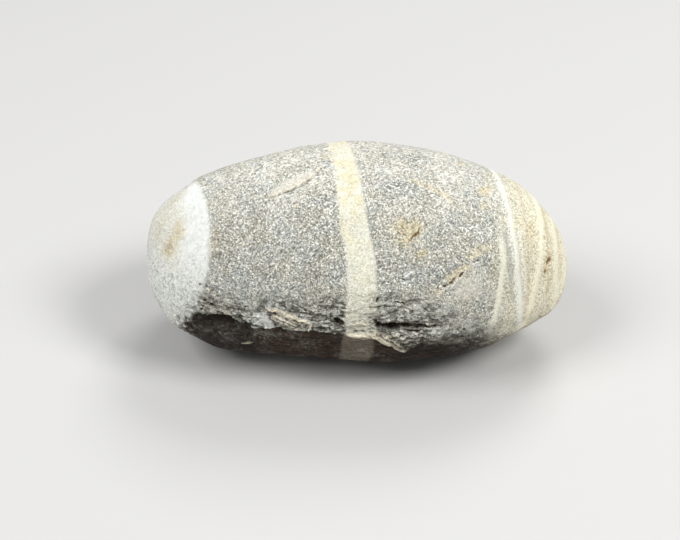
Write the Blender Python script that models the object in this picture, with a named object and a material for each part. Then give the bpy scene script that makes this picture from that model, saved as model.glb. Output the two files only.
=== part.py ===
# A basalt beach stone: one solid, worn round by water, lying on a small flat spot.
# Blender 4.5, metres, +Z up. X runs along the stone and its broken lower edge is on the -Y side.
# A place on the stone is a station, in millimetres from its middle towards +X, and a turn in
# degrees around its length: 0 faces -Y, 90 is the top, 180 the back and -90 the underside.

from math import atan2, cos, degrees, hypot, radians, sin

import bmesh
import bpy
from mathutils import Vector, noise

MM = 0.001

# Reach of the rounded body from its heart, in millimetres
LEFT_REACH = 32.2
RIGHT_REACH = 30.8
FRONT_REACH = 16.8
BACK_REACH = 16.6
TOP_REACH = 16.0
UNDER_REACH = 15.0

# Boxiness of the outlines: 2 is an ellipse, and a higher number fills its corners
LEFT_TOP_POWER = 2.02
LEFT_UNDER_POWER = 2.95
RIGHT_TOP_POWER = 2.1
RIGHT_UNDER_POWER = 2.45
GIRTH_TOP_POWER = 2.12
GIRTH_UNDER_POWER = 2.2

# How quickly the boxiness changes from the underside to the top, and from the left to the right
TOP_CHANGE = 0.7
RIGHT_CHANGE = 2.0

# How far the right-hand tip droops below the straight body, in millimetres
RIGHT_DROOP = 1.7

# Broad worn flats: the way each faces (heading from +X and tilt, in degrees), and its depth in mm
WORN_FLATS = (
    (180, -5, 0.1),
    (-155, -40, 0.4),
    (-55, -42, 1.2),
    (-95, -34, 0.8),
    (85, 15, 0.5),
    (-90, 38, 0.3),
    (70, -30, 0.7),
    (-60, 10, 0.4),
    (115, 45, 0.9),
)
FLAT_EDGE_POWER = 26

# Slow unevenness of the whole surface: wavelength and height in mm
SWELLS = ((15.0, 0.30), (6.0, 0.13))

# The lower front edge is broken off: the stations that the break runs between and how far each
# end fades in, its depth in mm, and the turns of its lip, of its foot and of the slopes to them
BREAK_STATIONS = (-26.0, 5.0)
BREAK_FADE = 5.0
BREAK_DEPTH = 0.8
BREAK_LIP_TURN = -12.0
BREAK_LIP_SLOPE = 7.0
BREAK_FOOT_TURN = -56.0
BREAK_FOOT_SLOPE = 30.0

# The small flat that the stone rests on is worn this far into its lowest point, in mm
REST_DEPTH = 0.2

FINENESS = 5
STONE_GREY = (0.33, 0.33, 0.31, 1.0)
STONE_ROUGHNESS = 0.85


def clear_objects():
    """Removes whatever the scene holds."""
    for item in list(bpy.data.objects):
        bpy.data.objects.remove(item, do_unlink=True)


def ease(value):
    """A smooth step that leaves 0 and reaches 1 without a kink."""
    value = min(max(value, 0.0), 1.0)
    return value * value * (3.0 - 2.0 * value)


def between(low, high, share):
    return low + (high - low) * share


def facing(heading, tilt):
    """The unit vector that points along a compass heading from +X and up by a tilt."""
    level = cos(radians(tilt))
    return Vector((level * cos(radians(heading)), level * sin(radians(heading)), sin(radians(tilt))))


def rounded_point(direction):
    """Where the unworn body's surface lies, in a direction from the stone's heart."""
    along, across, up = direction
    girth = max(hypot(across, up), 1e-6)
    top_share = ease(0.5 + TOP_CHANGE * up / girth)
    right_share = ease(0.5 + RIGHT_CHANGE * along)
    power = between(GIRTH_UNDER_POWER, GIRTH_TOP_POWER, top_share)
    depth = BACK_REACH if across > 0 else FRONT_REACH
    height = TOP_REACH if up > 0 else UNDER_REACH
    section = (abs(across / girth / depth) ** power + abs(up / girth / height) ** power) ** (-1 / power)
    left_power = between(LEFT_UNDER_POWER, LEFT_TOP_POWER, top_share)
    right_power = between(RIGHT_UNDER_POWER, RIGHT_TOP_POWER, top_share)
    power = between(left_power, right_power, right_share)
    length = RIGHT_REACH if along > 0 else LEFT_REACH
    return direction / (abs(along / length) ** power + (girth / section) ** power) ** (1 / power)


def worn_points(points):
    """The body's points, drawn in softly behind each worn flat."""
    flats = []
    for heading, tilt, depth in WORN_FLATS:
        way = facing(heading, tilt)
        reach = max(point.dot(way) for point in points) - depth
        flats.append((way, reach))
    worn = []
    for point in points:
        press = 1.0 + sum(max(point.dot(way) / reach, 0.0) ** FLAT_EDGE_POWER for way, reach in flats)
        worn.append(point / press ** (1 / FLAT_EDGE_POWER))
    return worn


def bent(point):
    """The point lowered as the right-hand end droops."""
    share = max(point.x / RIGHT_REACH, 0.0)
    return point - Vector((0, 0, RIGHT_DROOP * share * share))


def swell(point):
    """The slow unevenness at a point, in millimetres outwards."""
    return sum(height * noise.noise(point / length) for length, height in SWELLS)


def broken_away(point):
    """How deep the broken lower edge lies under the rounded body at a point, in millimetres."""
    turn = degrees(atan2(point.z, -point.y))
    start, stop = BREAK_STATIONS
    along = ease((point.x - start) / BREAK_FADE) * ease((stop - point.x) / BREAK_FADE)
    under_lip = ease((BREAK_LIP_TURN - turn) / BREAK_LIP_SLOPE)
    over_foot = ease((turn - BREAK_FOOT_TURN) / BREAK_FOOT_SLOPE)
    return BREAK_DEPTH * along * under_lip * over_foot


def stone_mesh():
    """The closed stone in metres, with its origin at the middle of the box, on the rest plane."""
    mesh = bmesh.new()
    bmesh.ops.create_icosphere(mesh, subdivisions=FINENESS, radius=1.0)
    points = worn_points([rounded_point(vert.co.normalized()) for vert in mesh.verts])
    for vert, point in zip(mesh.verts, points):
        outwards = point.normalized()
        vert.co = bent(point + outwards * (swell(point) - broken_away(point))) * MM
    rest_height = min(vert.co.z for vert in mesh.verts) + REST_DEPTH * MM
    for vert in mesh.verts:
        vert.co.z = max(vert.co.z, rest_height)
    lows = Vector([min(vert.co[axis] for vert in mesh.verts) for axis in range(3)])
    highs = Vector([max(vert.co[axis] for vert in mesh.verts) for axis in range(3)])
    middle = Vector(((lows.x + highs.x) / 2, (lows.y + highs.y) / 2, lows.z))
    bmesh.ops.translate(mesh, verts=mesh.verts[:], vec=-middle)
    bmesh.ops.recalc_face_normals(mesh, faces=mesh.faces[:])
    return mesh


def stone_material():
    """The grey of weathered basalt."""
    material = bpy.data.materials.new("weathered_basalt")
    material.use_nodes = True
    shader = material.node_tree.nodes["Principled BSDF"]
    shader.inputs["Base Color"].default_value = STONE_GREY
    shader.inputs["Roughness"].default_value = STONE_ROUGHNESS
    shader.inputs["Metallic"].default_value = 0.0
    return material


def build_stone():
    shape = stone_mesh()
    mesh = bpy.data.meshes.new("basalt_stone")
    shape.to_mesh(mesh)
    shape.free()
    mesh.materials.append(stone_material())
    mesh.shade_smooth()
    mesh.set_sharp_from_angle(angle=radians(50))
    stone = bpy.data.objects.new("basalt_stone", mesh)
    bpy.context.scene.collection.objects.link(stone)


clear_objects()
build_stone()
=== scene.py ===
from collections import namedtuple
from math import cos, pi, radians, sin

import bmesh
import bpy
import numpy as np
from mathutils import Matrix, Vector, noise
from mathutils.bvhtree import BVHTree


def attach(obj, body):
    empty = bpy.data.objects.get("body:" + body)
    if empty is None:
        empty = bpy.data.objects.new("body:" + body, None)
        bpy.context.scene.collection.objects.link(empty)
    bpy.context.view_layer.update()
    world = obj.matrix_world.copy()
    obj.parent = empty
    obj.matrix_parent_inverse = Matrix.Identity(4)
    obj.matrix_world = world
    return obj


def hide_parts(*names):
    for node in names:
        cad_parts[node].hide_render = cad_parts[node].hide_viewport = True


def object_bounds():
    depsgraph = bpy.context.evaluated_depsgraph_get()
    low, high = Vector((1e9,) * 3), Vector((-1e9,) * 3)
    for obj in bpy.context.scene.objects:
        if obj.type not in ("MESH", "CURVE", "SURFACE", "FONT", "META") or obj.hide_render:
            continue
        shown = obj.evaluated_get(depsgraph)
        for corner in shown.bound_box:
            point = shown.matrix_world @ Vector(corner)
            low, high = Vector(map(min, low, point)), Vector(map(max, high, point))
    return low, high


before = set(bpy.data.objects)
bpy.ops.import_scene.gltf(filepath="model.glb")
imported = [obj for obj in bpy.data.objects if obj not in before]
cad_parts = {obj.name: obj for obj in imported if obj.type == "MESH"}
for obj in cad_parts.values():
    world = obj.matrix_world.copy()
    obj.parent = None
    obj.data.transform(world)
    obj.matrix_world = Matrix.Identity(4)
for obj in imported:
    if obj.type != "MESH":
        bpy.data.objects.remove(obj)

MM = 0.001
CAD_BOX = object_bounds()
HEART = (CAD_BOX[0] + CAD_BOX[1]) / 2

# A place on the stone is a station, in millimetres along +X from its middle, and a turn in degrees
# around its length: 0 faces the viewer, 90 is the top, 180 the back and -90 the underside.

# How far the surface runs for each degree of turn, in millimetres
ARC = 0.28

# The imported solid's mesh is welded within this distance, in millimetres, and smoothed this often
WELD_GAP = 0.01
SMOOTH_LEVELS = 2

# Each seed's noise is read this much further along, in millimetres
SEED_SHIFT = 17.3

# How ragged the rims of the marks are, as a share of their size, and a place past every mark's rim
RAGGED = 0.28
PAST_RIM = 9.0
# How far the seams wander, in millimetres, how much thinner they are at their ends, and how steep
# their sides are
SEAM_WOBBLE = 0.22
SEAM_TAPER = 0.7
SEAM_STEEPNESS = 1.25

# The layers of noise in the relief, each with its wavelength and height in millimetres, its seed, and
# how many times longer it is along X
Layer = namedtuple("Layer", "length height seed stretch")
LUMPS = (Layer(4.0, 0.10, 1, 1.0), Layer(1.8, 0.05, 2, 1.0))
GRAIN = (Layer(0.75, 0.022, 10, 1.0), Layer(0.42, 0.012, 11, 1.0))
# How far the crease's hollow strays from its line
JAGS = (Layer(3.2, 0.55, 12, 1.0), Layer(1.1, 0.4, 13, 1.5))
# The ledges under the crease, for a ledge height of 1, and the crests of the broken rock over it
LEDGES = (Layer(1.5, 1.0, 21, 2.6), Layer(0.8, 0.6, 22, 2.2))
CRESTS = (Layer(0.9, 0.10, 5, 2.2), Layer(0.45, 0.08, 6, 1.9))
CREST_STEEPNESS = 3.2
# The pits of the broken rock, for a pit depth of 1, how much of them is left out, and their depth
PITS = (Layer(0.42, 1.0, 8, 1.9), Layer(0.9, 0.7, 9, 1.6))
PIT_LEVEL = 0.12
PIT_DEPTH = 0.5

# The plates of the broken rock: their size in millimetres, how many times longer they are along X,
# how far they stand out and how deep their joints go in millimetres, how wide the joints are as a
# share of the size, and how far off their pattern is read
Plates = namedtuple("Plates", "size stretch height joint_depth joint_width start")
PLATES = (
    Plates(1.0, 2.0, 0.22, 0.16, 0.2, 0.0),
    Plates(0.5, 1.9, 0.10, 0.10, 0.3, 5.0),
)
# How far the plates' outlines wander, in millimetres, the seed of their chance values, how far apart
# those are read, and how much a plate tilts for its size
PLATE_WOBBLE = 0.25
PLATE_SEED = 3
PLATE_SPREAD = 9.7
PLATE_TILT = 1.2
# How much less the rock is broken up under the crease, in the band, in the cap, and where the marks
# lay chalk or cream
UNDER_CALM = 0.8
BAND_CALM = 0.65
CAP_CALM = 0.5
CHALK_CALM = 0.7
CREAM_CALM = 0.65

# The plane of each mineral vein, in millimetres: the station where it meets the stone's axis, and
# how that station slides for each millimetre towards the back and upwards
Plane = namedtuple("Plane", "station back_slide up_slide")
BAND_LEFT = Plane(-3.63, -0.143, 0.014)
BAND_RIGHT = Plane(-0.28, -0.19, 0.0)
CAP_EDGE = Plane(-26.6, -0.356, 0.341)

# The crease where the lit face breaks over to the underside: station and turn
CREASE = (
    (-28.0, -34.0), (-25.3, -27.0), (-24.0, -20.0), (-22.5, -10.0), (-19.0, -8.0), (-16.0, -9.5),
    (-14.0, -12.0), (-11.5, -10.5), (-8.0, -10.0), (-5.0, -11.0), (-2.0, -12.5), (0.5, -14.0),
    (4.0, -17.5), (7.0, -20.0), (12.3, -18.0), (18.0, -17.0), (23.8, -22.0), (28.0, -28.0),
)
# How deep the hollow under the crease is cut, in millimetres, by station
UNDERCUT = (
    (-26.5, 0.0), (-22.5, 0.5), (-14.0, 0.5), (-6.0, 0.45), (0.0, 0.55), (5.0, 0.5), (8.0, 0.15),
    (14.0, 0.0),
)
# How wide the step down into that hollow is, in millimetres, by station
STEP_WIDTH = ((-24.0, 0.45), (6.0, 0.5), (12.0, 1.3), (18.0, 2.4), (28.0, 4.0))
# How far below the crease the hollow starts to run out, and over what width, in millimetres
HOLLOW_FOOT = 1.6
HOLLOW_RUN_OUT = 6.0
# How high the ledges in the hollow stand, over what width they grow, where they run out, and over
# what width, in millimetres
LEDGE_HEIGHT = 0.13
LEDGE_WIDTH = 1.2
LEDGE_FOOT = 5.0
LEDGE_RUN_OUT = 4.0
# The turn that the ragged rock reaches up to, by station, and over how many degrees below that it
# grows to its full strength
ROUGH_TOP = (
    (-27.0, -18.0), (-23.5, 6.0), (-21.5, 15.0), (-19.5, 13.0), (-14.0, 12.0), (-8.0, 16.0), (0.0, 16.0),
    (4.0, 18.5), (9.0, 16.0), (13.0, 10.0), (18.0, -1.0), (22.0, -10.0), (28.0, -18.0),
)
ROUGH_SPAN = 16.0
# How strongly the rock is broken up, by station
ROUGH_SHARE = ((-26.0, 0.8), (-12.0, 1.0), (4.0, 1.0), (8.0, 0.95), (12.0, 0.75), (20.0, 0.4))
# How much grime and painted shade there is just over the crease, by station, how far over it they
# start, and over what width they grow, in millimetres
GRIME_AND_SHADE = (
    (-26.0, 0.0), (-22.5, 0.8), (-15.0, 0.75), (-12.0, 0.15), (-6.0, 0.25), (-4.0, 0.35), (-2.5, 0.1),
    (0.0, 0.0), (4.0, 0.45), (7.0, 0.8), (13.0, 1.0), (18.0, 0.65), (22.0, 0.0),
)
GRIME_AND_SHADE_REACH = 1.7
GRIME_AND_SHADE_WIDTH = 2.1
# How much soil and painted shade there is under the crease, by station, how far over it they start,
# how much wider than the step they take to grow, in millimetres, and how much the rest of the underside has
SOIL_AND_SHADE = (
    (-28.5, 0.0), (-26.5, 0.2), (-24.0, 0.82), (-12.0, 0.82), (-6.0, 1.05), (4.0, 1.0), (13.0, 1.1),
    (18.0, 0.7), (23.0, 0.1),
)
SOIL_AND_SHADE_REACH = 0.25
SOIL_AND_SHADE_WIDTH = 0.9
UNDERSIDE_SOIL_AND_SHADE = 0.4

# Where the mesh is cut finer along the broken edge: between two stations, and how far below the
# crease, in millimetres. The first cut goes up to a few degrees short of the ragged rock's top.
FIRST_CUT_STATIONS = (-25.5, 12.0)
FIRST_CUT_FOOT = 1.0
FIRST_CUT_SHORT = 3.0
SECOND_CUT_STATIONS = (-25.0, 9.0)
SECOND_CUT_SPAN = (-2.3, 0.6)
# Marks and seams narrower than this are cut finer too, with a rim around them, in millimetres
NARROW = 1.2
MARK_RIM = 0.4
SEAM_RIM = 0.1

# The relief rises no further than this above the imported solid, in millimetres. It starts this high
# over the surface that the stone rests on, and fades in over this height.
HIGHEST_RISE = 0.6
REST_CLEARANCE = 0.05
REST_FADE = 1.2


def along_line(line, station):
    """The value of a line, given as pairs of station and value, at each station."""
    return np.interp(station, [point[0] for point in line], [point[1] for point in line])


def ease(value):
    """A smooth step from 0 to 1, on numbers or arrays."""
    value = np.clip(value, 0.0, 1.0)
    return value * value * (3.0 - 2.0 * value)


def window(values, low, high, fade):
    """1 between low and high, easing to 0 over the fade on both sides."""
    return ease((values - low) / fade) * ease((high - values) / fade)


def roughness_at(points, length, stretch=1.0):
    """Smooth noise from -1 to 1 at each point, of a wavelength in millimetres, drawn out along X."""
    along = 1 / (length * stretch)
    across = 1 / length
    return np.array([noise.noise(Vector((x * along, y * across, z * across))) for x, y, z in points])


def fractured_at(points, length, stretch):
    """Broken rock as tilted plates of a size in millimetres: its height, and the gap to its joints."""
    noise.seed_set(PLATE_SEED)
    heights = np.empty(len(points))
    joints = np.empty(len(points))
    for index, (x, y, z) in enumerate(points):
        place = Vector((x / stretch, y, z)) / length
        distances, corners = noise.voronoi(place)
        chance = noise.noise_vector(corners[0] * PLATE_SPREAD)
        heights[index] = chance.x + PLATE_TILT * (place - corners[0]).dot(chance)
        joints[index] = distances[1] - distances[0]
    return heights, joints


def gap_to_path(points, path):
    """How far each point lies from a path of straight runs, and how far along the path, from 0 to 1."""
    runs = [end - start for start, end in zip(path, path[1:])]
    lengths = [np.linalg.norm(run) for run in runs]
    gap = np.full(len(points), np.inf)
    along = np.zeros(len(points))
    walked = 0.0
    for start, run, length in zip(path, runs, lengths):
        share = np.clip((points - start) @ run / length ** 2, 0, 1)
        distance = np.linalg.norm(points - start - share[:, None] * run, axis=1)
        closer = distance < gap
        gap[closer] = distance[closer]
        along[closer] = (walked + share[closer] * length) / sum(lengths)
        walked += length
    return gap, along


def whereabouts(points):
    """The station and the turn of each point, given in millimetres."""
    offset = points - np.array(HEART) / MM
    return offset[:, 0], np.degrees(np.arctan2(offset[:, 2], -offset[:, 1]))


def below_crease(station, turn):
    """How far each place lies below the crease, in millimetres over the surface."""
    return (along_line(CREASE, station) - turn) * ARC


def mesh_of(name, shape):
    """A worked shape as a mesh of its own."""
    mesh = bpy.data.meshes.new(name)
    shape.to_mesh(mesh)
    shape.free()
    return mesh


def placed(name, data):
    """A mesh, a lamp or a camera as an object of the scene."""
    item = bpy.data.objects.new(name, data)
    bpy.context.scene.collection.objects.link(item)
    return item


def welded_stone():
    """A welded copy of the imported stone's mesh."""
    shape = bmesh.new()
    shape.from_mesh(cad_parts["basalt_stone"].data)
    bmesh.ops.remove_doubles(shape, verts=shape.verts[:], dist=WELD_GAP * MM)
    return mesh_of("stone_blank", shape)


def cut_finer(shape, wanted):
    """Halves the edges of the faces whose station and turn are wanted."""
    faces = shape.faces[:]
    centres = np.array([face.calc_center_median() for face in faces]) / MM
    chosen = wanted(*whereabouts(centres))
    edges = dict.fromkeys(edge for face, keep in zip(faces, chosen) if keep for edge in face.edges)
    bmesh.ops.subdivide_edges(shape, edges=list(edges), cuts=1, use_grid_fill=True)
    bmesh.ops.triangulate(shape, faces=[face for face in shape.faces if len(face.verts) > 4])


def near_break(station, turn):
    """The crease and the ragged rock over it."""
    start, stop = FIRST_CUT_STATIONS
    under_top = turn < along_line(ROUGH_TOP, station) - FIRST_CUT_SHORT
    over_foot = below_crease(station, turn) < FIRST_CUT_FOOT
    return (station > start) & (station < stop) & under_top & over_foot


def at_break(station, turn):
    """The narrow strip along the crease itself."""
    start, stop = SECOND_CUT_STATIONS
    top, foot = SECOND_CUT_SPAN
    below = below_crease(station, turn)
    return (station > start) & (station < stop) & (below > top) & (below < foot)


def near_details(station, turn):
    """The places of the narrow marks and seams, away from the broken edge."""
    places = np.stack([station, turn * ARC], axis=1)
    chosen = np.zeros(len(station), bool)
    for mark in MARKS:
        if mark.width < NARROW and mark.rise != 0.0:
            lean = radians(mark.lean)
            over, up = station - mark.station, (turn - mark.turn) * ARC
            u = (over * cos(lean) + up * sin(lean)) / (mark.length / 2 + MARK_RIM)
            v = (up * cos(lean) - over * sin(lean)) / (mark.width / 2 + MARK_RIM)
            chosen |= u * u + v * v < 1
    for seam in SEAMS:
        if seam.width < NARROW:
            gap, _ = gap_to_path(places, [np.array((over, turned * ARC)) for over, turned in seam.path])
            chosen |= gap < seam.width / 2 + SEAM_RIM
    return chosen & ~near_break(station, turn)


def smoothed_stone():
    """The welded stone rounded by subdivision, and cut finer at its broken edge and its marks."""
    blank = placed("stone_blank", welded_stone())
    smoothing = blank.modifiers.new("smoothing", "SUBSURF")
    smoothing.levels = SMOOTH_LEVELS
    smoothing.render_levels = SMOOTH_LEVELS
    rounded = blank.evaluated_get(bpy.context.evaluated_depsgraph_get())
    shape = bmesh.new()
    shape.from_mesh(rounded.to_mesh())
    rounded.to_mesh_clear()
    bpy.data.objects.remove(blank, do_unlink=True)
    for wanted in (near_break, at_break, near_details, near_details):
        cut_finer(shape, wanted)
    return shape


class Surface:
    """The stone's surface as it is worked: where each point is, how far it rises, and its tints."""

    # The soil and grime tints carry painted shade along with the dirt, the hollow tint is painted shade in
    # the relief's hollows, and the crest tint is painted highlight on its crests
    TINTS = ("chalk", "cream", "tan", "rust", "soil_and_shade", "beige", "film", "hollow", "crest", "grime_and_shade",
             "rough")

    def __init__(self, mesh):
        count = len(mesh.vertices)
        flat = np.empty(count * 3)
        mesh.vertices.foreach_get("co", flat)
        self.points = flat.reshape(-1, 3) / MM
        mesh.vertices.foreach_get("normal", flat)
        self.normals = flat.reshape(-1, 3).copy()
        self.middle = np.array(HEART) / MM
        self.station, self.turn = whereabouts(self.points)
        self.rise = np.zeros(count)
        self.tints = {name: np.zeros(count) for name in self.TINTS}
        self.tree = BVHTree.FromPolygons(
            [Vector(point) for point in self.points], [tuple(face.vertices) for face in mesh.polygons]
        )
        self.wobble = [self.noise(1.3, seed) + 0.5 * self.noise(0.5, seed) for seed in (3, 4)]
        self.bend = np.stack([self.noise(0.6, seed) for seed in (18, 19, 20)], axis=1)

    def noise(self, length, seed, stretch=1.0):
        """Smooth noise over the surface, of a wavelength in millimetres, with its own run for each seed."""
        return roughness_at(self.points + SEED_SHIFT * seed, length, stretch)

    def noises(self, layers):
        """Layers of noise, one on the other."""
        return sum(layer.height * self.noise(layer.length, layer.seed, layer.stretch) for layer in layers)

    def ridges(self, layers):
        """Layers of sharp crests along winding lines, each 1 on its crests before its height is given."""
        total = np.zeros(len(self.points))
        for layer in layers:
            slopes = np.abs(self.noise(layer.length, layer.seed, layer.stretch))
            total += layer.height * (1 - CREST_STEEPNESS * slopes)
        return total

    def right_of(self, plane):
        """How far each point lies to the right of a vein's plane, in millimetres."""
        y, z = self.points[:, 1], self.points[:, 2] - self.middle[2]
        return self.station - plane.station - y * plane.back_slide - z * plane.up_slide

    def spot(self, station, turn):
        """The surface point and its outward direction at a station and a turn."""
        start = Vector(self.middle) + Vector((station, 0, 0))
        way = Vector((0, -cos(radians(turn)), sin(radians(turn))))
        place, outwards, _, _ = self.tree.ray_cast(start, way)
        return place, outwards

    def across(self, mark):
        """Each point's place in a mark's own frame: along and across it, both 1 at its rim."""
        place, outwards = self.spot(mark.station, mark.turn)
        along = Vector((1, 0, 0)) - outwards * outwards.x
        along.normalize()
        along.rotate(Matrix.Rotation(radians(mark.lean), 3, outwards))
        sideways = outwards.cross(along)
        offset = self.points - np.array(place)
        far = np.abs(offset @ np.array(outwards)) > max(mark.length, mark.width)
        u = offset @ np.array(along) / (mark.length / 2) + RAGGED * self.wobble[0]
        v = offset @ np.array(sideways) / (mark.width / 2) + RAGGED * self.wobble[1]
        u[far] = PAST_RIM
        return u, v

    def stain(self, name, strength):
        """Lays a tint over the surface, where it is stronger than what is there."""
        self.tints[name] = np.maximum(self.tints[name], strength)

    def add(self, mark):
        """Works a mark's hollow or lump, and its tints."""
        share = mark.profile(*self.across(mark))
        self.rise += mark.rise * share
        for name, strength in mark.tints.items():
            self.stain(name, strength * share)

    def trace(self, seam):
        """Draws a seam: a ridge or a crack along a path, thinner towards its ends."""
        path = [np.array(self.spot(*place)[0]) for place in seam.path]
        gap, along = gap_to_path(self.points + SEAM_WOBBLE * self.bend, path)
        half = seam.width / 2 * (1 - SEAM_TAPER * np.abs(2 * along - 1) ** 3)
        share = ease(SEAM_STEEPNESS * (1 - gap / half))
        self.rise += seam.rise * share
        for name, strength in seam.tints.items():
            self.stain(name, strength * share)


def bowl(u, v):
    """A round hollow or lump."""
    return np.clip(1 - u * u - v * v, 0, 1) ** 1.5


def plate(u, v):
    """A level face with short steep sides."""
    return ease((1 - np.hypot(u, v)) / 0.4)


def smear(u, v):
    """A stain that fades all the way out."""
    return np.exp(-1.6 * (u * u + v * v))


def wedge(u, v):
    """A raised triangle that points up."""
    return ease(np.minimum(v + 1, (1 - v) / 2 - np.abs(u)) / 0.3)


Mark = namedtuple("Mark", "station turn lean length width rise profile tints")

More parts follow.
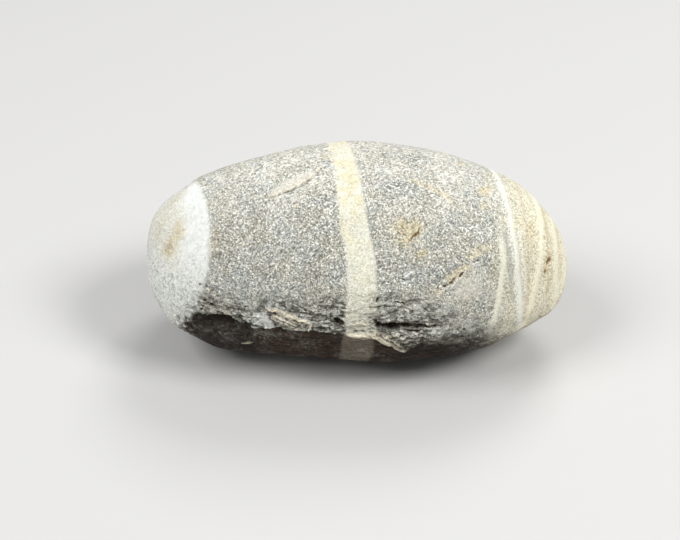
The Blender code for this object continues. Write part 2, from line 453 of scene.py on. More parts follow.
# The rounded marks that can be told apart on the stone, in millimetres and degrees
MARKS = (
    # broad swells and flats of the whole body
    Mark(22.5, 125, 0, 10.0, 9.0, 0.32, smear, {}),
    Mark(-26.3, 117, 0, 7.0, 7.0, -0.42, smear, {}),
    Mark(-28.9, -31, 0, 5.0, 6.0, -0.36, smear, {}),
    Mark(-20.0, -53, 0, 8.0, 6.0, 0.34, smear, {}),
    Mark(10.3, -50, 0, 10.0, 7.0, -0.5, smear, {}),
    Mark(19.8, -54, 0, 5.5, 6.0, 0.4, smear, {}),
    Mark(26.0, -46, 0, 5.0, 6.0, -0.36, smear, {}),
    # the deep hollows under the crease, darkened with soil and painted shade
    Mark(-19.4, -13.5, 20, 6.8, 3.0, -0.6, plate, {"soil_and_shade": 0.95}),
    Mark(-11.2, -15.5, 4, 5.6, 1.9, -0.55, plate, {"soil_and_shade": 1.0}),
    Mark(-5.4, -16.5, 0, 6.4, 1.5, -0.35, plate, {"soil_and_shade": 0.9}),
    Mark(3.2, -20.5, -38, 5.6, 1.3, -0.45, plate, {"soil_and_shade": 1.0}),
    # the long gap to the right of the band, and the crevice to its left, darkened with soil and painted
    # shade
    Mark(5.1, -7.4, -3, 4.4, 1.7, -0.75, plate, {"soil_and_shade": 1.0}),
    Mark(-2.0, -4.6, -35, 2.6, 1.3, -0.6, plate, {"soil_and_shade": 0.95}),
    # the plate to the right of the chip, and the chip's pale facet
    Mark(-9.3, -5.0, -20, 6.6, 3.0, 0.22, plate, {"cream": 0.35}),
    Mark(-12.5, -3.8, -10, 4.8, 4.6, 0.32, wedge, {"chalk": 1.0}),
    # holes behind the lip, darkened with soil and painted shade, and lumps to its right
    Mark(0.3, -10.6, 0, 1.0, 0.6, -0.5, bowl, {"soil_and_shade": 1.0}),
    Mark(1.3, -10.4, 0, 1.1, 0.5, -0.5, bowl, {"soil_and_shade": 1.0}),
    Mark(6.9, -14.6, 8, 1.2, 0.8, 0.3, bowl, {"cream": 0.7}),
    Mark(7.4, -17.4, 8, 1.1, 0.8, 0.3, bowl, {"cream": 0.7}),
    Mark(5.6, -12.4, 8, 1.0, 0.6, 0.25, bowl, {"cream": 0.5}),
    # pale lumps over and under the long gap
    Mark(4.6, -2.6, 10, 2.2, 0.7, 0.2, bowl, {"chalk": 0.3}),
    Mark(4.8, -1.0, 0, 4.6, 2.2, 0.08, smear, {"chalk": 0.35}),
    Mark(5.2, -13.2, -8, 4.8, 1.5, 0.12, smear, {"cream": 0.6}),
    # the knobbly foot of the white cap
    Mark(-25.8, -20.5, 0, 1.3, 0.9, 0.3, bowl, {"cream": 0.7}),
    Mark(-24.9, -22.5, 0, 1.1, 0.9, 0.3, bowl, {"chalk": 0.8}),
    Mark(-24.6, -28.5, 20, 1.4, 1.0, 0.3, bowl, {"chalk": 0.8}),
    Mark(-25.5, -28.0, 0, 1.2, 0.9, 0.3, bowl, {"chalk": 0.9}),
    Mark(-23.8, -20.0, 0, 1.0, 0.7, 0.3, bowl, {"cream": 0.8}),
    Mark(-23.8, -31.0, 0, 1.2, 0.8, 0.25, bowl, {"cream": 0.6}),
    # pits darkened with soil and painted shade, and a yellow speck, where the cap's edge meets the broken
    # rock
    Mark(-20.9, 9.3, -50, 0.9, 0.45, -0.35, bowl, {"soil_and_shade": 1.0}),
    Mark(-21.9, 9.0, 0, 0.8, 0.4, -0.3, bowl, {"soil_and_shade": 0.9}),
    Mark(-20.5, 7.2, -60, 0.9, 0.6, 0.08, bowl, {"cream": 0.9}),
    Mark(-21.2, -0.3, 20, 1.2, 0.5, -0.35, bowl, {"soil_and_shade": 1.0}),
    Mark(-20.2, -2.4, 0, 1.3, 0.5, -0.35, bowl, {"soil_and_shade": 1.0}),
    Mark(-21.8, -6.2, 0, 1.0, 0.5, -0.35, bowl, {"soil_and_shade": 1.0}),
    Mark(-20.2, 3.3, 0, 0.8, 0.4, -0.3, bowl, {"soil_and_shade": 0.9}),
    # stains on the cap
    Mark(-25.4, 45, 75, 5.4, 3.6, -0.03, smear, {"tan": 0.9}),
    Mark(-26.8, 30, 50, 3.4, 3.0, -0.05, smear, {"tan": 1.0, "rust": 0.15}),
    Mark(-26.5, 38, 60, 1.6, 0.9, -0.03, smear, {"rust": 0.35}),
    Mark(-26.6, 88, 40, 4.5, 2.4, 0.0, smear, {"tan": 0.5}),
    Mark(-28.6, 55, 80, 6.0, 2.6, 0.0, smear, {"tan": 0.45}),
    # a duller patch left of the band
    Mark(-6.5, 19, 0, 9.0, 5.0, 0.0, smear, {"grime_and_shade": 0.32}),
    # the stained pit right of the band, and the smaller stain under it
    Mark(7.6, 43.0, 62, 5.4, 4.4, -0.16, smear, {"tan": 1.0}),
    Mark(6.4, 46.5, 62, 3.4, 3.0, 0.0, smear, {"tan": 0.9}),
    Mark(9.4, 32.0, 30, 2.6, 1.7, -0.04, smear, {"tan": 0.75}),
    Mark(9.3, 31.6, 20, 0.6, 0.4, -0.08, bowl, {"rust": 0.8}),
    # the stained surroundings of the crack
    Mark(14.4, 20.5, 38, 7.0, 2.6, 0.0, smear, {"tan": 0.7}),
    Mark(17.0, 33.0, 24, 6.5, 2.2, 0.0, smear, {"tan": 0.6, "cream": 0.35}),
    Mark(11.9, 12.4, 30, 1.6, 1.2, 0.0, smear, {"cream": 0.9}),
    Mark(16.0, 12.0, 20, 8.0, 6.0, 0.0, smear, {"beige": 0.95}),
    # tan and yellow patches over the right-hand half and the end
    Mark(25.1, 55.0, 85, 4.6, 1.3, 0.0, smear, {"tan": 0.95}),
    Mark(22.8, 60.0, 80, 3.2, 1.2, 0.0, smear, {"tan": 0.7}),
    Mark(24.7, 31.3, 80, 2.4, 1.0, 0.0, smear, {"tan": 0.6}),
    Mark(18.2, 80.0, 60, 4.0, 2.2, 0.0, smear, {"tan": 0.9}),
    Mark(18.0, 66.0, 60, 3.0, 1.8, 0.0, smear, {"tan": 0.5}),
    Mark(15.0, 104.0, 10, 2.4, 1.6, 0.0, smear, {"tan": 0.8}),
    # a pale speck on the left with a small hollow over it, painted dark as shade
    Mark(-8.5, 56.0, 0, 1.1, 0.9, -0.05, bowl, {"cream": 1.0}),
    Mark(-8.7, 57.6, 0, 0.7, 0.35, -0.1, bowl, {"hollow": 0.8}),
    # warm streaks near the band's top and beside the cap
    Mark(-4.6, 92.0, 60, 4.0, 2.0, 0.0, smear, {"tan": 0.6}),
    Mark(-19.8, 40.0, 88, 9.0, 2.6, 0.0, smear, {"tan": 0.35}),
    # the smooth fill of the long lens-shaped scar left of the band
    Mark(-9.2, 71.0, 32, 9.6, 2.2, 0.05, plate, {"beige": 1.0}),
)

Seam = namedtuple("Seam", "path width rise tints")

# The ridges, cracks and lines, each along a path of stations and turns, in millimetres
SEAMS = (
    # the cream ridge over the chipped facet, and the streaks that fan out from it
    Seam(((-12.5, 1.2), (-10.4, 0.6), (-9.3, -1.4), (-7.1, -4.0), (-6.1, -5.6), (-6.3, -10.4)),
         0.9, 0.36, {"cream": 1.0}),
    Seam(((-12.3, -0.6), (-11.1, -2.3), (-9.0, -5.5), (-7.4, -8.0)), 0.55, 0.28, {"cream": 0.9}),
    Seam(((-12.0, -2.8), (-10.7, -5.1), (-8.2, -8.7)), 0.5, 0.28, {"chalk": 0.9}),
    Seam(((-11.4, -6.0), (-9.7, -8.2), (-7.6, -10.1)), 0.5, 0.26, {"cream": 0.9}),
    Seam(((-10.6, -0.9), (-8.4, -4.2), (-6.8, -7.6)), 0.45, 0.24, {"cream": 0.8}),
    Seam(((-14.6, -12.2), (-13.2, -11.4), (-11.5, -9.8)), 0.5, 0.3, {"chalk": 1.0}),
    # the foot of the band: a thin cream line, the lip under it, and the lip's second edge and lower roll
    Seam(((-1.3, -5.9), (0.6, -5.2), (2.9, -5.7)), 0.55, 0.18, {"cream": 0.7}),
    Seam(((-1.0, -12.6), (0.0, -13.0), (1.4, -12.6), (2.9, -12.4), (4.1, -16.0), (5.4, -20.2),
          (6.4, -24.2), (7.6, -26.0)), 1.5, 0.5, {"cream": 1.0}),
    Seam(((3.3, -10.9), (4.5, -13.7), (5.7, -17.3), (6.9, -21.5)), 0.55, 0.4, {"cream": 0.9}),
    Seam(((-1.3, -15.0), (-0.4, -17.0), (0.4, -19.0), (1.4, -19.6), (2.3, -17.6)),
         0.8, 0.45, {"cream": 0.75}),
    # the gap right of the band, its thin continuation, and the shorter gap under it, darkened with soil
    # and painted shade
    Seam(((2.8, -2.6), (3.2, -5.2), (4.0, -6.9), (6.3, -6.8), (8.4, -7.5), (10.0, -7.7)),
         1.4, -0.6, {"soil_and_shade": 1.0}),
    Seam(((9.0, -7.2), (10.5, -8.0), (11.9, -7.8)), 0.6, -0.3, {"soil_and_shade": 0.8}),
    Seam(((6.6, -9.6), (8.0, -10.6), (9.6, -10.4)), 0.6, -0.45, {"soil_and_shade": 0.9}),
    # small slits over the broken rock, darkened with soil and painted shade, one with a light line under it
    Seam(((3.4, 9.6), (3.2, 7.2)), 0.45, -0.4, {"soil_and_shade": 1.0}),
    Seam(((2.8, 9.0), (2.75, 7.2)), 0.35, -0.3, {"soil_and_shade": 0.9}),
    Seam(((5.7, 7.8), (6.3, 6.9), (7.1, 6.2)), 0.38, -0.3, {"soil_and_shade": 1.0}),
    Seam(((5.5, 6.2), (6.2, 5.5), (7.0, 5.0)), 0.38, 0.18, {"chalk": 1.0}),
    # the crack across the right-hand half, its gaps darkened with rust, soil and painted shade
    Seam(((11.8, 13.0), (12.4, 14.2), (13.0, 15.4), (13.5, 16.9), (14.1, 19.2)),
         0.5, -0.3, {"rust": 0.9, "soil_and_shade": 0.5}),
    Seam(((14.5, 19.4), (15.3, 21.6)), 0.45, -0.3, {"soil_and_shade": 1.0}),
    Seam(((16.5, 27.8), (17.7, 28.6)), 0.3, -0.22, {"soil_and_shade": 0.9}),
    Seam(((12.6, 12.8), (13.7, 15.2), (14.2, 17.4), (15.0, 19.2)), 0.45, 0.16, {"chalk": 1.0}),
    Seam(((13.9, 20.6), (14.8, 22.6), (15.9, 24.6)), 0.4, 0.12, {"cream": 1.0}),
    Seam(((16.0, 25.9), (16.9, 26.9), (17.8, 27.3)), 0.4, 0.14, {"chalk": 1.0}),
    Seam(((16.2, 24.6), (17.6, 25.6)), 0.35, 0.1, {"chalk": 0.8}),
    # dark lines in the stained pit
    Seam(((8.9, 46.4), (8.7, 43.4), (8.0, 40.6), (7.4, 38.2)), 0.4, -0.2, {"rust": 1.0}),
    Seam(((6.3, 46.6), (6.9, 44.6)), 0.4, -0.15, {"rust": 0.8}),
    Seam(((6.6, 42.6), (7.2, 41.2)), 0.35, -0.12, {"rust": 0.8}),
    # the pale sliver with its pit, darkened with soil and painted shade, and the faint arcs under it
    Seam(((8.2, 22.8), (7.7, 21.4), (6.9, 20.0)), 0.75, 0.2, {"chalk": 1.0}),
    Seam(((6.5, 19.0), (7.2, 18.6)), 0.4, -0.28, {"soil_and_shade": 1.0}),
    Seam(((6.3, 17.6), (7.2, 15.7), (8.6, 16.4)), 0.35, 0.12, {"chalk": 0.8}),
    Seam(((5.2, 20.9), (6.1, 20.4), (6.8, 19.8)), 0.25, 0.08, {"chalk": 0.7}),
    # white flecks and fine scratches
    Seam(((-5.8, 34.8), (-5.4, 36.4), (-5.3, 37.8)), 0.45, 0.08, {"chalk": 1.0}),
    Seam(((-16.1, 22.4), (-15.3, 24.2), (-14.5, 23.4)), 0.35, 0.08, {"chalk": 0.9}),
    Seam(((-8.8, 24.4), (-8.5, 29.8)), 0.28, 0.06, {"chalk": 0.7}),
    Seam(((6.2, 71.2), (7.5, 65.0)), 0.3, 0.06, {"chalk": 0.9}),
    Seam(((10.6, 65.8), (11.8, 61.0)), 0.28, 0.05, {"chalk": 0.8}),
    # a warm diagonal streak on the top right
    Seam(((7.3, 75.9), (8.6, 73.5), (10.3, 71.8), (12.4, 67.3), (13.3, 63.7), (13.9, 60.2)),
         2.2, 0.0, {"tan": 0.5}),
    # the scar's lower edge: a pale line, painted as the light catching its crest, over a dark line of
    # painted shade
    Seam(((-13.6, 60.9), (-13.0, 61.5), (-11.3, 63.7), (-9.4, 66.6), (-8.0, 69.9), (-6.9, 73.1),
          (-5.9, 77.7), (-5.3, 82.2), (-4.8, 86.0)), 0.4, 0.14, {"cream": 0.9}),
    Seam(((-12.2, 61.9), (-11.2, 62.8), (-9.3, 65.6), (-7.8, 69.0), (-6.7, 72.2), (-5.7, 76.7),
          (-5.1, 81.4)), 0.42, -0.16, {"soil_and_shade": 0.6}),
    # the rusty seam near the right-hand tip
    Seam(((27.8, 32.0), (27.5, 22.0), (27.2, 14.3), (26.9, 6.0)), 1.8, -0.08, {"tan": 1.0}),
    Seam(((27.9, 27.6), (27.6, 23.0), (27.4, 19.0)), 0.9, -0.14, {"rust": 1.0}),
    Seam(((27.3, 15.5), (27.1, 11.0)), 0.8, -0.12, {"rust": 1.0}),
    Seam(((26.9, 56.0), (26.9, 50.0)), 0.6, -0.04, {"rust": 0.5, "tan": 0.9}),
    # a spur of lumps under the chip, scratches on the underside, and cracks in the foot of the cap
    # darkened with soil and painted shade
    Seam(((-13.6, -13.5), (-14.0, -18.0), (-14.3, -24.0), (-14.6, -30.0)), 1.3, 0.3, {"cream": 0.16}),
    Seam(((-21.0, -14.0), (-18.4, -19.0), (-15.2, -21.5)), 1.6, 0.25, {"cream": 0.08}),
    Seam(((-16.5, -38.0), (-15.6, -36.5), (-14.8, -35.0)), 0.9, 0.12, {"cream": 1.0}),
    Seam(((-14.7, -34.4), (-14.2, -28.0), (-14.3, -21.0)), 0.6, 0.1, {"cream": 0.3}),
    Seam(((-19.8, -27.8), (-18.0, -27.0), (-16.2, -26.5)), 0.6, 0.05, {"cream": 0.35}),
    Seam(((-25.4, -18.0), (-25.2, -23.5), (-25.0, -31.0)), 0.35, -0.35, {"soil_and_shade": 1.0}),
    Seam(((-24.3, -15.5), (-24.2, -23.0), (-24.1, -29.5)), 0.35, -0.35, {"soil_and_shade": 1.0}),
)


def fabric(surface):
    """The broken rock over the crease, as plates, crests and pits: its height, and where it shows."""
    below = below_crease(surface.station, surface.turn)
    top = along_line(ROUGH_TOP, surface.station)
    rough = ease((top - surface.turn) / ROUGH_SPAN) * (1 - UNDER_CALM * ease((below - 0.2) / 1.6))
    rough *= window(surface.station, -28.0, 28.0, 4.0) * along_line(ROUGH_SHARE, surface.station)
    rough *= 1 - BAND_CALM * window(surface.right_of(BAND_LEFT), 0.0, 3.5, 0.3)
    rough *= 1 - CAP_CALM * ease(-surface.right_of(CAP_EDGE) / 0.5)
    rough *= 1 - np.maximum(CHALK_CALM * surface.tints["chalk"], CREAM_CALM * surface.tints["cream"])
    near = rough > 0.01
    points = surface.points[near] + PLATE_WOBBLE * surface.bend[near]
    heights = np.zeros(len(points))
    joints = np.zeros(len(points))
    for plates in PLATES:
        height, gap = fractured_at(points + plates.start, plates.size, plates.stretch)
        heights += plates.height * height
        joints += plates.joint_depth * (1 - ease(gap / plates.joint_width))
    broken = np.zeros(len(rough))
    broken[near] = heights - joints
    pits = np.clip(surface.noises(PITS) - PIT_LEVEL, 0, 1)
    broken += surface.ridges(CRESTS) - PIT_DEPTH * pits
    return rough * broken, rough


def lay_dirt_and_shade(surface, below, step, broken):
    """Tints painted shade into the broken rock's hollows and painted highlights on to its crests, and lays
    grime and painted shade over the crease and soil and painted shade under it.
    """
    # grime and painted shade over the crease
    grime_and_shade = ease((below + GRIME_AND_SHADE_REACH) / GRIME_AND_SHADE_WIDTH) * along_line(GRIME_AND_SHADE, surface.station)
    grime_and_shade *= ease((surface.turn + 100) / 40)
    # painted shade in the broken rock's hollows and painted highlights on its crests
    surface.stain("hollow", np.clip(-broken / 0.16 - 0.1, 0, 1))
    surface.stain("crest", np.clip(broken / 0.12, 0, 1) * (1 - grime_and_shade))
    surface.stain("grime_and_shade", grime_and_shade)
    # soil and painted shade under the crease, and a thinner coat of them on the rest of the underside
    front = ease((surface.turn + 75) / 30) * along_line(SOIL_AND_SHADE, surface.station)
    near_crease = ease((below + SOIL_AND_SHADE_REACH) / (step + SOIL_AND_SHADE_WIDTH)) * front
    underneath = UNDERSIDE_SOIL_AND_SHADE * (1 - front) * ease((-25 - surface.turn) / 30)
    patchy = 0.85 + 0.3 * surface.noise(2.5, 14)
    back = ease((-150 - surface.turn) / 25)
    surface.stain("soil_and_shade", (near_crease + underneath) * patchy * (1 - back))


def lay_film(surface):
    """Tints what faces up with a patchy film, most of all the top."""
    top = ease((surface.normals[:, 2] - 0.42) / 0.5) * (0.55 + 0.45 * ease((surface.turn - 55) / 35))
    surface.stain("film", top * np.clip(0.55 + 0.7 * surface.noise(4.5, 15), 0, 1))


def build_relief(surface):
    """Works the stone's relief and tints on to its surface."""
    surface.rise += surface.noises(LUMPS) + surface.noises(GRAIN)
    below = below_crease(surface.station, surface.turn) + surface.noises(JAGS)
    depth = along_line(UNDERCUT, surface.station)
    step = along_line(STEP_WIDTH, surface.station)
    surface.rise -= depth * ease(below / step) * (1 - ease((below - HOLLOW_FOOT) / HOLLOW_RUN_OUT))
    for mark in MARKS:
        surface.add(mark)
    for seam in SEAMS:
        surface.trace(seam)
    running_out = 1 - ease((below - LEDGE_FOOT) / LEDGE_RUN_OUT)
    surface.rise += LEDGE_HEIGHT * surface.ridges(LEDGES) * ease(below / LEDGE_WIDTH) * running_out
    broken, rough = fabric(surface)
    surface.rise += broken
    surface.stain("rough", rough)
    lay_dirt_and_shade(surface, below, step, broken)
    lay_film(surface)


def finished_stone(material):
    """The stone with its relief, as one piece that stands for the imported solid."""
    mesh = mesh_of("basalt_stone_finished", smoothed_stone())
    surface = Surface(mesh)
    build_relief(surface)
    resting = ease((surface.points[:, 2] - REST_CLEARANCE) / REST_FADE)
    rise = np.minimum(surface.rise, HIGHEST_RISE) * resting
    worked = surface.points + surface.normals * rise[:, None]
    worked[:, 2] = np.maximum(worked[:, 2], 0.0)
    mesh.vertices.foreach_set("co", (worked * MM).ravel())
    for name, values in surface.tints.items():
        layer = mesh.attributes.new(name, "FLOAT", "POINT")
        layer.data.foreach_set("value", np.clip(values, 0, 1).astype(np.float32))
    mesh.update()
    mesh.shade_smooth()
    mesh.materials.append(material)
    return placed("basalt_stone_finished", mesh)


class Wire:
    """A node's output that takes part in Python sums: each sum adds the Math node it needs."""

    def __init__(self, bench, socket):
        self.bench = bench
        self.socket = socket

    def __add__(self, other):
        return self.bench.math("ADD", self, other)

    def __radd__(self, other):
        return self.bench.math("ADD", other, self)

    def __sub__(self, other):
        return self.bench.math("SUBTRACT", self, other)

    def __rsub__(self, other):
        return self.bench.math("SUBTRACT", other, self)

    def __mul__(self, other):
        return self.bench.math("MULTIPLY", self, other)

    def __rmul__(self, other):
        return self.bench.math("MULTIPLY", other, self)

    def __abs__(self):
        return self.bench.math("ABSOLUTE", self)


class Bench:
    """Where a material's nodes are put together."""

    def __init__(self, name):
        self.material = bpy.data.materials.new(name)
        self.material.use_nodes = True
        self.tree = self.material.node_tree
        self.shader = self.tree.nodes["Principled BSDF"]

    def node(self, kind, settings, inputs, output=0):
        """Adds a node: its settings first, then the values or links of its sockets."""
        made = self.tree.nodes.new(kind)
        for name, value in settings.items():
            setattr(made, name, value)
        for key, value in inputs.items():
            self.feed(made.inputs[key], value)
        return Wire(self, made.outputs[output])

    def finished(self, inputs):
        """The material, once the sockets of its shader have their values or links."""
        for name, value in inputs.items():
            self.feed(self.shader.inputs[name], value)
        return self.material

    def feed(self, socket, value):
        """Links or sets a socket."""
        if isinstance(value, Wire):
            self.tree.links.new(value.socket, socket)
        else:
            socket.default_value = value

    def math(self, operation, *values):
        return self.node("ShaderNodeMath", {"operation": operation}, dict(enumerate(values)))

    def place(self):
        """The place on the stone in millimetres, from its middle on the rest plane."""
        spot = self.node("ShaderNodeTexCoord", {}, {}, "Object")
        return self.vector_math("SCALE", {0: spot, "Scale": 1 / MM})

    def vector_math(self, operation, inputs):
        return self.node("ShaderNodeVectorMath", {"operation": operation}, inputs)

    def moved(self, vector, offset):
        return self.vector_math("ADD", {0: vector, 1: offset})

    def drawn_out(self, place, share):
        """A place whose X is shortened to a share, so that a pattern on it is drawn out along the stone."""
        return self.vector_math("MULTIPLY", {0: place, 1: (share, 1.0, 1.0)})

    def moved_by(self, vector, cloud, reach):
        """A place pushed about by a coloured cloud, as far as the reach."""
        centred = self.vector_math("SUBTRACT", {0: cloud, 1: (0.5, 0.5, 0.5)})
        push = self.vector_math("SCALE", {0: centred, "Scale": 2 * reach})
        return self.vector_math("ADD", {0: vector, 1: push})

    def parts(self, vector):
        """A vector's three values, one by one."""
        split = self.node("ShaderNodeSeparateXYZ", {}, {0: vector})
        return [Wire(self, output) for output in split.socket.node.outputs]

    def mottle(self, place, length, detail=2.0, rough=0.5, wormy=0.0):
        """Cloudy noise about 0.5, of a wavelength in millimetres."""
        inputs = {"Vector": place, "Scale": 1 / length, "Detail": detail}
        inputs |= {"Roughness": rough, "Distortion": wormy}
        return self.node("ShaderNodeTexNoise", {}, inputs)

    def cloud(self, place, length):
        """Coloured noise, as three values to push a place about with."""
        return self.node("ShaderNodeTexNoise", {}, {"Vector": place, "Scale": 1 / length}, "Color")

    def grains(self, place, length):
        """Three random values for each grain of a size in millimetres."""
        chance = self.node("ShaderNodeTexVoronoi", {}, {"Vector": place, "Scale": 1 / length}, "Color")
        return self.parts(chance)

    def fade(self, value, low, high):
        """0 where a value is at low and 1 where it is at high, with a smooth change between."""
        inputs = {"Value": value, "From Min": low, "From Max": high}
        return self.node("ShaderNodeMapRange", {"interpolation_type": "SMOOTHSTEP"}, inputs)

    def blend(self, share, under, over, how="MIX"):
        """One colour laid over another, by a share from 0 to 1."""
        settings = {"data_type": "RGBA", "blend_type": how}
        return self.node("ShaderNodeMix", settings, {0: share, 6: under, 7: over}, 2)

    def tint(self, name):
        """How strong one of the surface's tints is."""
        return self.node("ShaderNodeAttribute", {"attribute_name": name}, {}, "Fac")

    def bump(self, height, distance):
        """Fine relief of the finish itself, in metres."""
        inputs = {"Height": height, "Distance": distance, "Strength": 1.0}
        return self.node("ShaderNodeBump", {}, inputs, "Normal")


def shade(red, green, blue):
    """A colour given as it shows on a screen, from 0 to 255, as linear light."""
    linear = [((v / 255 + 0.055) / 1.055) ** 2.4 if v > 10 else v / 255 / 12.92 for v in (red, green, blue)]
    return (*linear, 1.0)


def right_of(bench, place, plane):
    """How far a place lies to the right of a vein's plane, in millimetres."""
    x, y, z = bench.parts(place)
    return x - y * plane.back_slide - (z - HEART.z / MM) * plane.up_slide - plane.station


# In the finish a turn goes from -90 underneath to 90 on top, on the back as on the front. A vein that
# goes all round has turns past both ends, and others fade over this many degrees at their ends.
ALL_ROUND = (-200, 400)
VEIN_END_FADE = 12
# The thin veins: plane, half width and the fade of its edges in millimetres, the turns between which
# it shows, and its colour and strength
Vein = namedtuple("Vein", "plane half_width fade turns tone strength")
WHITE = shade(244, 244, 236)
CREAM = shade(250, 243, 216)
VEINS = (
    Vein(Plane(21.5, -0.169, -0.074), 0.45, 0.85, ALL_ROUND, WHITE, 0.74),
    Vein(Plane(22.6, -0.169, -0.074), 0.14, 0.25, (-10, 60), WHITE, 0.5),
    Vein(Plane(10.43, -0.791, 0.389), 0.62, 0.9, (-22, 50), shade(243, 240, 220), 0.75),
    Vein(Plane(24.6, -0.106, 0.214), 0.5, 1.1, ALL_ROUND, CREAM, 0.74),
    Vein(Plane(28.3, -0.09, 0.02), 0.45, 0.7, ALL_ROUND, shade(246, 240, 216), 0.6),
)
# The darker lines between them
SHADES_BETWEEN = (
    Vein(Plane(20.5, -0.169, -0.074), 0.3, 0.5, (-12, 60), shade(158, 162, 158), 0.55),
    Vein(Plane(22.15, -0.169, -0.074), 0.1, 0.25, (-10, 60), shade(160, 156, 144), 0.5),
    Vein(Plane(23.3, -0.14, 0.05), 0.28, 0.5, (-40, 100), shade(196, 178, 152), 0.5),
    Vein(Plane(27.1, -0.09, 0.02), 0.2, 0.4, (-20, 100), shade(190, 168, 122), 0.6),
    Vein(Plane(29.1, -0.09, 0.02), 0.14, 0.35, (-20, 100), shade(192, 172, 130), 0.55),
)


def vein_share(bench, place, turn, vein, warp):
    """How much of a vein shows at a place, with its uneven edges."""
    off = abs(right_of(bench, place, vein.plane) + warp)
    width = vein.half_width
    share = bench.fade(off, width + vein.fade / 2, width - vein.fade / 2)
    low, high = vein.turns
    shown = bench.fade(turn, low, low + VEIN_END_FADE)
    return share * shown * bench.fade(turn, high, high - VEIN_END_FADE)


def rock_colour(bench, place, film):
    """The grey rock: small grains, pale flecks and dark specks, cool and warm by patches."""
    bent = bench.moved_by(place, bench.cloud(place, 0.5), 0.16)
    grain, tint, _ = bench.grains(bent, 0.17)
    cloud = bench.mottle(place, 2.6, 3.0, 0.55)
    patches = bench.mottle(bench.moved(place, (31.0, 7.0, 3.0)), 3.2, 4.0, 0.6)
    warm = bench.fade(patches + tint * 0.08 + film * 0.08, 0.42, 0.68)
    cool_rock = bench.blend(grain, shade(92, 95, 92), shade(188, 191, 186))
    warm_rock = bench.blend(grain, shade(100, 97, 84), shade(195, 190, 173))
    rock = bench.blend(warm, cool_rock, warm_rock)
    rock = bench.blend(bench.fade(cloud, 0.35, 0.65), rock, shade(236, 236, 234), "MULTIPLY")
    worms = bench.mottle(bench.moved(place, (5.0, 11.0, 2.0)), 0.27, 1.0, 0.5, 1.6)
    pale = bench.fade(worms + film * 0.05, 0.54, 0.6)
    pale_tone = bench.blend(tint, shade(246, 249, 242), shade(255, 251, 236))
    rock = bench.blend(pale * 0.95, rock, pale_tone)
    dark, _, _ = bench.grains(bench.moved(place, (3.0, 1.0, 8.0)), 0.21)
    rock = bench.blend(bench.fade(dark, 0.17, 0.06) * 0.6, rock, shade(84, 83, 80))
    return rock, grain, pale


def film_colour(bench, place, grain):
    """The thin pale skin on what faces up: beige and pinkish, with blue-grey patches."""
    patches = bench.mottle(bench.moved(place, (9.0, 4.0, 6.0)), 1.7, 4.0, 0.62)
    warm_skin = bench.blend(grain, shade(150, 144, 130), shade(255, 253, 238))
    pink_skin = bench.blend(grain, shade(150, 138, 126), shade(252, 242, 228))
    blue_skin = bench.blend(grain, shade(134, 139, 142), shade(228, 232, 231))
    skin = bench.blend(bench.fade(patches, 0.54, 0.62), warm_skin, pink_skin)
    skin = bench.blend(bench.fade(patches, 0.44, 0.36), skin, blue_skin)
    flecks = bench.mottle(bench.moved(place, (1.0, 6.0, 4.0)), 0.45, 2.0, 0.6, 1.0)
    skin = bench.blend(bench.fade(flecks, 0.47, 0.40) * 0.85, skin, shade(108, 109, 112))
    return bench.blend(bench.fade(flecks, 0.53, 0.59) * 0.8, skin, shade(255, 254, 246))


def broken_colour(bench, place, colour):
    """The ragged rock: painted highlights along drawn-out crests and painted shade in the gaps between
    them.
    """
    rough = bench.tint("rough")
    drawn = bench.drawn_out(place, 0.42)
    lines = bench.mottle(drawn, 0.42, 3.0, 0.6, 0.8)
    # painted highlights along the crests and painted shade in the gaps
    crests = bench.fade(abs(lines - 0.53), 0.065, 0.015) * rough
    hollows = bench.mottle(bench.moved(drawn, (4.0, 9.0, 1.0)), 0.4, 3.0, 0.65, 0.8)
    gaps = bench.fade(hollows, 0.44, 0.36) * rough
    colour = bench.blend(gaps * 0.88, colour, shade(64, 62, 52))
    colour = bench.blend(crests * 0.9, colour, shade(240, 239, 224))
    return colour, crests - gaps


def band_colour(bench, place, turn, grain):
    """The white band: chalky, yellower higher up, with fine wavy crosswise cracks low down."""
    cloud = bench.fade(bench.mottle(place, 2.0, 4.0, 0.62), 0.42, 0.64)
    tone = bench.blend(cloud, shade(246, 245, 232), shade(244, 235, 202))
    tone = bench.blend(bench.fade(turn, 58, 20) * 0.7, tone, shade(255, 255, 242))
    speckled = bench.blend(grain, shade(212, 209, 198), shade(255, 255, 255))
    tone = bench.blend(0.9, tone, speckled, "MULTIPLY")
    pits = bench.mottle(place, 0.3, 3.0, 0.7)
    tone = bench.blend(bench.fade(pits, 0.46, 0.36) * 0.65, tone, shade(172, 166, 146))
    drawn = bench.drawn_out(place, 0.3)
    cracks = bench.fade(abs(bench.mottle(drawn, 0.8, 3.0, 0.6, 0.6) - 0.5), 0.03, 0.006)
    return bench.blend(cracks * bench.fade(turn, 34, 10) * 0.62, tone, shade(124, 117, 98))


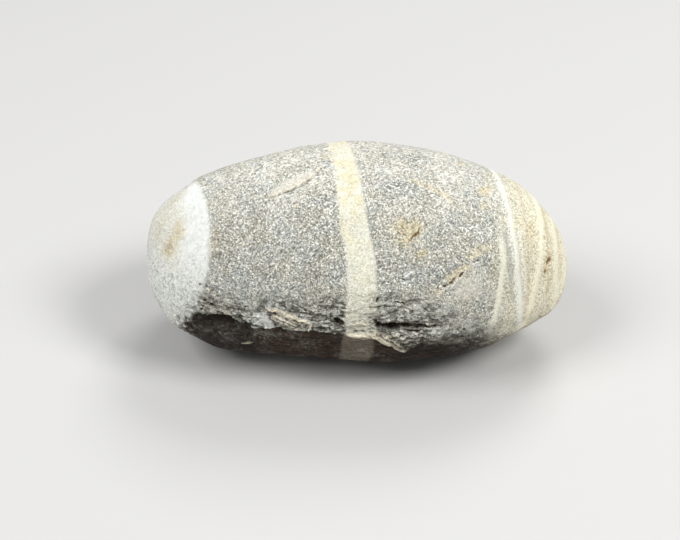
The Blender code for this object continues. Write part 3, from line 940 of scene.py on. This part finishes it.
def cap_colour(bench, place, grain, warp):
    """The white cap on the left end: milky, greenish grey low down, tan and speckled on the far tip."""
    x, y, z = bench.parts(place)
    low = bench.fade(z + warp, 21.5, 16.0)
    cloud = bench.mottle(place, 1.0, 3.0, 0.65)
    greyer = bench.fade(cloud + low * 0.08, 0.62, 0.4)
    tone = bench.blend(greyer, shade(255, 255, 250), shade(244, 247, 242))
    mottles = bench.mottle(bench.moved(place, (2.0, 2.0, 9.0)), 0.42, 3.0, 0.65, 0.8)
    tone = bench.blend(bench.fade(mottles, 0.48, 0.38) * (0.3 + low * 0.4), tone, shade(160, 164, 158))
    specks = bench.blend(grain, shade(200, 203, 197), shade(255, 255, 255))
    tone = bench.blend(0.35 + low * 0.55, tone, specks, "MULTIPLY")
    tip = bench.fade(x + warp * 2.2, -23.6, -26.4) * bench.fade(z + warp * 2.4, 16.6, 20.0)
    tip_tone = bench.blend(grain, shade(190, 184, 164), shade(255, 253, 240))
    tone = bench.blend(tip * 0.75, tone, tip_tone)
    rim = bench.fade(y + warp * 3.0, -1.0, 4.0)
    return bench.blend(rim * 0.6, tone, bench.blend(grain, shade(176, 180, 184), shade(240, 241, 240)))


def end_colour(bench, x, colour, grain, pale, warp):
    """The yellower rock of the right-hand end, and its pale tip."""
    end = bench.fade(x + warp * 3.0, 17.0, 25.0)
    end_tone = bench.blend(grain, shade(170, 156, 116), shade(255, 251, 228))
    end_tone = bench.blend(pale * 0.6, end_tone, shade(255, 252, 230))
    colour = bench.blend(end * 0.8, colour, end_tone)
    tip = bench.fade(x + warp * 1.5, 28.6, 30.4)
    return bench.blend(tip * 0.7, colour, bench.blend(grain, shade(214, 205, 174), shade(255, 252, 228)))


def veined_colour(bench, place, turn, colour, grain, warp):
    """The thin veins and the darker lines between them, each broken up into spots."""
    for vein in SHADES_BETWEEN + VEINS:
        share = vein_share(bench, place, turn, vein, warp * 0.6 + (grain - 0.5) * 0.55)
        broken = bench.fade(bench.mottle(place, 0.5, 3.0, 0.6) + share * 0.25, 0.47, 0.64)
        colour = bench.blend(share * broken * vein.strength, colour, vein.tone)
    return colour


def band_share(bench, place, turn, ragged_edge):
    """Where the white band is: it sways a little on its way up, and is wider at its foot."""
    sway = bench.fade(turn, 44, 26) * bench.fade(turn, -2, 12) * 0.34 - bench.fade(turn, 36, 54) * 0.26
    left = right_of(bench, place, BAND_LEFT) + ragged_edge - sway
    foot = bench.fade(turn, 12, -2) * 0.3
    right = right_of(bench, place, BAND_RIGHT) + ragged_edge - sway - foot - 0.12
    return bench.fade(left, -0.3, 0.3) * bench.fade(right, 0.3, -0.3)


# The stains that the marks and seams lay: tint, darkest and lightest colour, and strength
STAINS = (
    ("tan", shade(148, 134, 102), shade(244, 230, 190), 0.72),
    ("beige", shade(204, 200, 188), shade(238, 232, 218), 0.6),
    ("chalk", shade(184, 184, 178), shade(252, 252, 248), 0.92),
    ("cream", shade(214, 201, 172), shade(252, 243, 220), 0.84),
    ("rust", shade(70, 54, 36), shade(150, 118, 72), 0.9),
)


def stained_colour(bench, colour, grain, fine):
    """The stains, with ragged rims."""
    for name, low_tone, high_tone, strength in STAINS:
        ragged = bench.fade(bench.tint(name) + fine * 0.8 + (grain - 0.5) * 0.35, 0.12, 0.8)
        colour = bench.blend(ragged * strength, colour, bench.blend(grain, low_tone, high_tone))
    return colour


# What the grime and painted shade let through, and the darkest and lightest streaks of the soil and
# painted shade, as linear light
GRIME_AND_SHADE_TONE = (0.40, 0.39, 0.36, 1.0)
DARK_SOIL_AND_SHADE = (0.082, 0.051, 0.038, 1.0)
LIGHT_SOIL_AND_SHADE = (0.27, 0.188, 0.145, 1.0)


def dirt_and_shade_colour(bench, place, colour, fine, in_band):
    """Painted highlights on the broken rock's crests and painted shade in its hollows, its grime and
    painted shade, and the streaky soil and painted shade underneath.
    """
    # painted highlights on the crests
    crest = bench.tint("crest") * bench.fade(fine, -0.1, 0.1)
    colour = bench.blend(crest * 0.55, colour, shade(240, 239, 228))
    # painted shade in the hollows
    hollow = bench.tint("hollow") * (0.66 - in_band * 0.45)
    colour = bench.blend(hollow, colour, shade(122, 116, 106), "MULTIPLY")
    # grime and painted shade over the crease, then soil and painted shade under it
    clean = (1 - bench.tint("cream") * 0.8) * (1 - bench.tint("chalk") * 0.8)
    grime_and_shade = bench.fade(bench.tint("grime_and_shade") + fine * 0.8, 0.05, 1.0) * clean
    colour = bench.blend(grime_and_shade, colour, GRIME_AND_SHADE_TONE, "MULTIPLY")
    soil_and_shade = bench.fade(bench.tint("soil_and_shade") + fine, 0.1, 0.84) * clean * (1 - in_band * 0.16)
    streaks = bench.fade(bench.mottle(bench.drawn_out(place, 0.3), 0.5, 5.0, 0.7), 0.46, 0.66)
    return bench.blend(soil_and_shade, colour, bench.blend(streaks, DARK_SOIL_AND_SHADE, LIGHT_SOIL_AND_SHADE), "MULTIPLY")


# How deep the finish's own fine relief is, in metres
GRAIN_DEPTH = 0.00006


def stone_finish():
    """Weathered basalt with its veins, film, stains and dirt, and painted shade and highlights."""
    bench = Bench("basalt_stone_finish")
    place = bench.place()
    x, y, z = bench.parts(place)
    turn = bench.math("ARCTAN2", z - HEART.z / MM, abs(y)) * (180 / pi)
    coarse = bench.mottle(place, 4.0, 2.0) - 0.5
    fine = bench.mottle(place, 0.6, 3.0, 0.6) - 0.5
    warp = coarse + fine * 0.55

    film = bench.tint("film")
    colour, grain, pale = rock_colour(bench, place, film)
    skin = film_colour(bench, place, grain)
    patchy = bench.fade(bench.mottle(place, 1.0, 3.0, 0.6) + film * 0.3, 0.46, 0.72)
    colour = bench.blend(film * patchy * 0.9, colour, skin)
    colour, ragged_height = broken_colour(bench, place, colour)
    colour = end_colour(bench, x, colour, grain, pale, warp)
    colour = veined_colour(bench, place, turn, colour, grain, warp)

    ragged = (grain - 0.5) * 0.3
    in_band = band_share(bench, place, turn, warp * 0.35 + ragged)
    colour = bench.blend(in_band * 0.95, colour, band_colour(bench, place, turn, grain))
    in_cap = bench.fade(right_of(bench, place, CAP_EDGE) + warp * 0.6 + ragged, 0.35, -0.35)
    colour = bench.blend(in_cap * 0.96, colour, cap_colour(bench, place, grain, warp))
    colour = stained_colour(bench, colour, grain, fine)
    colour = dirt_and_shade_colour(bench, place, colour, fine, in_band)

    height = pale * 0.5 + grain * 0.35 + fine * 1.2 + ragged_height * 1.6
    return bench.finished({
        "Base Color": colour,
        "Roughness": 0.72 + grain * 0.2,
        "Specular IOR Level": 0.3,
        "Normal": bench.bump(height, GRAIN_DEPTH),
    })


def floor_finish():
    tone = shade(196, 195, 193)
    return Bench("pale_floor").finished({"Base Color": tone, "Roughness": 0.9, "Specular IOR Level": 0.1})


# How far the floor reaches from its middle, in metres
FLOOR_REACH = 1.5


def lay_floor():
    shape = bmesh.new()
    bmesh.ops.create_grid(shape, x_segments=1, y_segments=1, size=FLOOR_REACH)
    mesh = mesh_of("floor", shape)
    mesh.materials.append(floor_finish())
    floor = placed("floor", mesh)


# The photograph's frame in pixels, where the aim point over the stone's middle shows in it, and how
# high that point is over the floor, in millimetres
PHOTO_SIZE = (680, 540)
AIM_PIXEL = (357, 252)
AIM_HEIGHT = 14.9
# The camera: its focal length in pixels, its turn to the right and its tilt down in degrees, its
# distance from the aim point along its view, and its sensor's width, in millimetres
FOCAL_PIXELS = 1640
CAMERA_TURN = 2.0
CAMERA_TILT = 34.5
CAMERA_DISTANCE = 243.0
SENSOR_WIDTH = 36.0


def set_camera():
    """Puts the camera so that the aim point falls on its pixel."""
    turn, tilt = radians(CAMERA_TURN), radians(CAMERA_TILT)
    ahead = Vector((-sin(turn) * cos(tilt), cos(turn) * cos(tilt), -sin(tilt)))
    right = Vector((cos(turn), sin(turn), 0))
    up = right.cross(ahead)
    across = (AIM_PIXEL[0] - PHOTO_SIZE[0] / 2) / FOCAL_PIXELS
    raised = (PHOTO_SIZE[1] / 2 - AIM_PIXEL[1]) / FOCAL_PIXELS
    ray = ahead + right * across + up * raised
    data = bpy.data.cameras.new("camera")
    data.sensor_width = SENSOR_WIDTH
    data.lens = FOCAL_PIXELS / PHOTO_SIZE[0] * SENSOR_WIDTH
    data.clip_start = 0.01
    camera = placed("camera", data)
    camera.location = (Vector((0, 0, AIM_HEIGHT)) - ray * CAMERA_DISTANCE) * MM
    camera.rotation_euler = Matrix((right, up, -ahead)).transposed().to_euler()
    bpy.context.scene.camera = camera


# Soft boxes: heading from the viewer's side towards the right and height, in degrees, then how far
# off, how wide and tall, in metres, and watts
SoftBox = namedtuple("SoftBox", "name heading height distance width watts")
SOFT_BOXES = (
    SoftBox("box_right", 64, 47, 0.6, 0.22, 2.75),
    SoftBox("box_left", -62, 49, 0.6, 0.30, 2.25),
    SoftBox("box_behind", 162, 50, 0.6, 0.25, 1.65),
)
ROOM_LIGHT = 0.25
ROOM_SHADE = (0.93, 0.96, 1.0, 1.0)


def set_lights():
    for box in SOFT_BOXES:
        heading, height = radians(box.heading), radians(box.height)
        way = Vector((sin(heading) * cos(height), -cos(heading) * cos(height), sin(height)))
        data = bpy.data.lights.new(box.name, "AREA")
        data.shape = "SQUARE"
        data.size = box.width
        data.energy = box.watts
        lamp = placed(box.name, data)
        lamp.location = HEART + way * box.distance
        lamp.rotation_euler = way.to_track_quat("Z", "Y").to_euler()
    world = bpy.data.worlds.new("studio")
    bpy.context.scene.world = world
    world.use_nodes = True
    world.node_tree.nodes["Background"].inputs["Color"].default_value = ROOM_SHADE
    world.node_tree.nodes["Background"].inputs["Strength"].default_value = ROOM_LIGHT
    bpy.context.scene.view_settings.view_transform = "Standard"


set_camera()
set_lights()
lay_floor()
stone = finished_stone(stone_finish())
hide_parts("basalt_stone")
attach(stone, "root")
